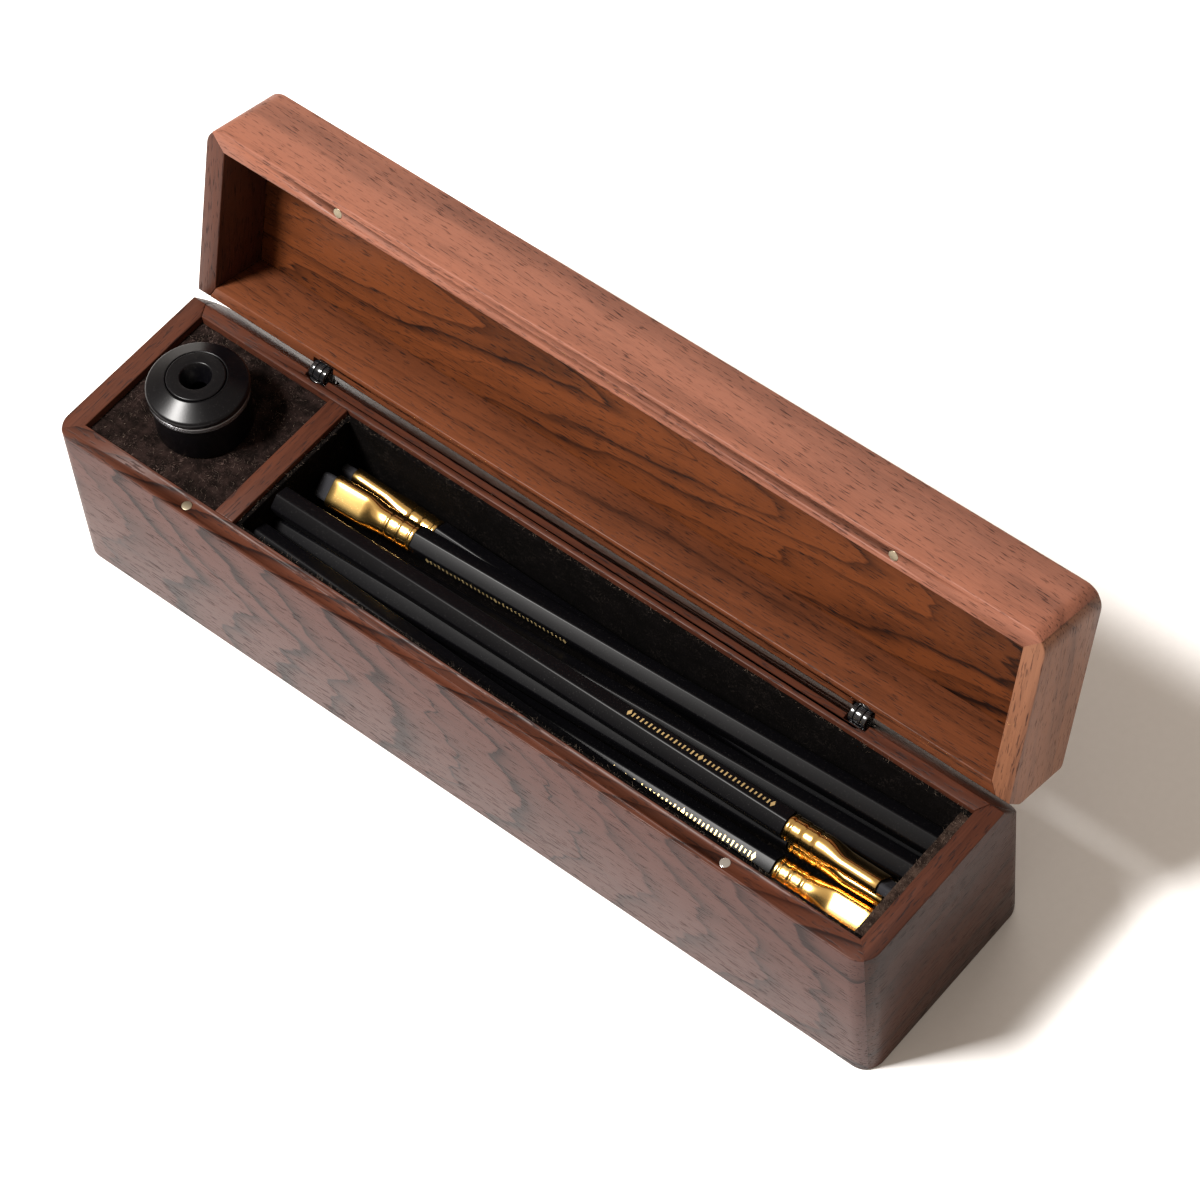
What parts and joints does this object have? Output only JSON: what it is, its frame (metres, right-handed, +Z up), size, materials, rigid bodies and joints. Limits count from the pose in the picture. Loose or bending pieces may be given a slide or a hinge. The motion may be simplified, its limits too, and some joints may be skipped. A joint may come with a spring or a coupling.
{
  "type": "pencil case",
  "caption": "Long walnut case with a hinged lid standing open, a felt-lined pencil tray, a round pencil sharpener and hexagonal pencils.",
  "frame": {"origin": "middle of the base's underside", "axes": "+X along the box from the sharpener's end, +Y towards the hinged back edge, +Z up"},
  "size_m": [0.276, 0.0974, 0.1106],
  "materials": {
    "walnut": "oiled open-grain walnut",
    "felt": "dark brown-grey wool felt",
    "hinge_black": "glossy black plating",
    "magnet": "nickel-plated magnet",
    "sharpener_black": "satin black anodised",
    "blade_steel": "ground steel",
    "pencil_black": "matte black paint over cedar",
    "ferrule_gold": "bright gold plating",
    "eraser_grey": "matte rubber"
  },
  "bodies": {
    "base": {"base_front_wall": "walnut", "base_back_wall": "walnut", "base_left_end": "walnut", "base_right_end": "walnut", "base_bottom_panel": "walnut", "base_magnet_left": "magnet", "base_magnet_right": "magnet", "compartment_divider": "walnut", "sharpener_plinth": "walnut", "pencil_plinth": "walnut", "felt_sharpener_pad": "felt", "felt_pencil_floor": "felt", "felt_front_liner": "felt", "felt_back_liner": "felt", "felt_left_liner": "felt", "felt_right_liner": "felt", "hinge_left_base_barrel": "hinge_black", "hinge_right_base_barrel": "hinge_black", "hinge_left_pin": "hinge_black", "hinge_right_pin": "hinge_black"},
    "lid": {"lid_front_wall": "walnut", "lid_back_wall": "walnut", "lid_left_end": "walnut", "lid_right_end": "walnut", "lid_top_panel": "walnut", "lid_magnet_left": "magnet", "lid_magnet_right": "magnet", "hinge_left_lid_barrel": "hinge_black", "hinge_right_lid_barrel": "hinge_black"},
    "sharpener_body": {"sharpener_cup": "sharpener_black", "sharpener_collar": "sharpener_black"},
    "sharpener_top": {"sharpener_head": "sharpener_black", "sharpener_core": "sharpener_black", "sharpener_blade": "blade_steel"},
    "pencil_1": {"pencil_1_barrel": "pencil_black", "pencil_1_ferrule": "ferrule_gold", "pencil_1_eraser": "eraser_grey"},
    "pencil_2": {"pencil_2_barrel": "pencil_black", "pencil_2_ferrule": "ferrule_gold", "pencil_2_eraser": "eraser_grey"},
    "pencil_3": {"pencil_3_barrel": "pencil_black", "pencil_3_ferrule": "ferrule_gold", "pencil_3_eraser": "eraser_grey"},
    "pencil_4": {"pencil_4_barrel": "pencil_black", "pencil_4_ferrule": "ferrule_gold", "pencil_4_eraser": "eraser_grey"},
    "pencil_5": {"pencil_5_barrel": "pencil_black", "pencil_5_ferrule": "ferrule_gold", "pencil_5_eraser": "eraser_grey"},
    "pencil_6": {"pencil_6_barrel": "pencil_black", "pencil_6_ferrule": "ferrule_gold", "pencil_6_eraser": "eraser_grey"},
    "pencil_7": {"pencil_7_barrel": "pencil_black", "pencil_7_ferrule": "ferrule_gold", "pencil_7_eraser": "eraser_grey"}
  },
  "joints": [
    {"name": "lid_hinge", "type": "hinge", "parent": "base", "child": "lid", "pos_m": [0, 0.0253, 0.05475], "axis": [-1, 0, 0], "range_deg": [-105.5, 0]},
    {"name": "sharpener_lift", "type": "slide", "parent": "base", "child": "sharpener_body", "axis": [0, 0, 1], "range_m": [0, 0.05]},
    {"name": "sharpener_top_turn", "type": "hinge", "parent": "sharpener_body", "child": "sharpener_top", "pos_m": [-0.1082, -0.0044, 0.0523], "axis": [0, 0, 1], "continuous": true},
    {"name": "pencil_7_lift", "type": "slide", "parent": "base", "child": "pencil_7", "axis": [0, 0, 1], "range_m": [0, 0.05]},
    {"name": "pencil_6_lift", "type": "slide", "parent": "pencil_7", "child": "pencil_6", "axis": [0, 0, 1], "range_m": [0, 0.05]},
    {"name": "pencil_5_lift", "type": "slide", "parent": "pencil_7", "child": "pencil_5", "axis": [0, 0, 1], "range_m": [0, 0.05]},
    {"name": "pencil_3_lift", "type": "slide", "parent": "pencil_5", "child": "pencil_3", "axis": [0, 0, 1], "range_m": [0, 0.05]},
    {"name": "pencil_4_lift", "type": "slide", "parent": "pencil_3", "child": "pencil_4", "axis": [0, 0, 1], "range_m": [0, 0.05]},
    {"name": "pencil_1_lift", "type": "slide", "parent": "base", "child": "pencil_1", "axis": [0, 0, 1], "range_m": [0, 0.05]},
    {"name": "pencil_2_lift", "type": "slide", "parent": "pencil_1", "child": "pencil_2", "axis": [0, 0, 1], "range_m": [0, 0.05]}
  ]
}
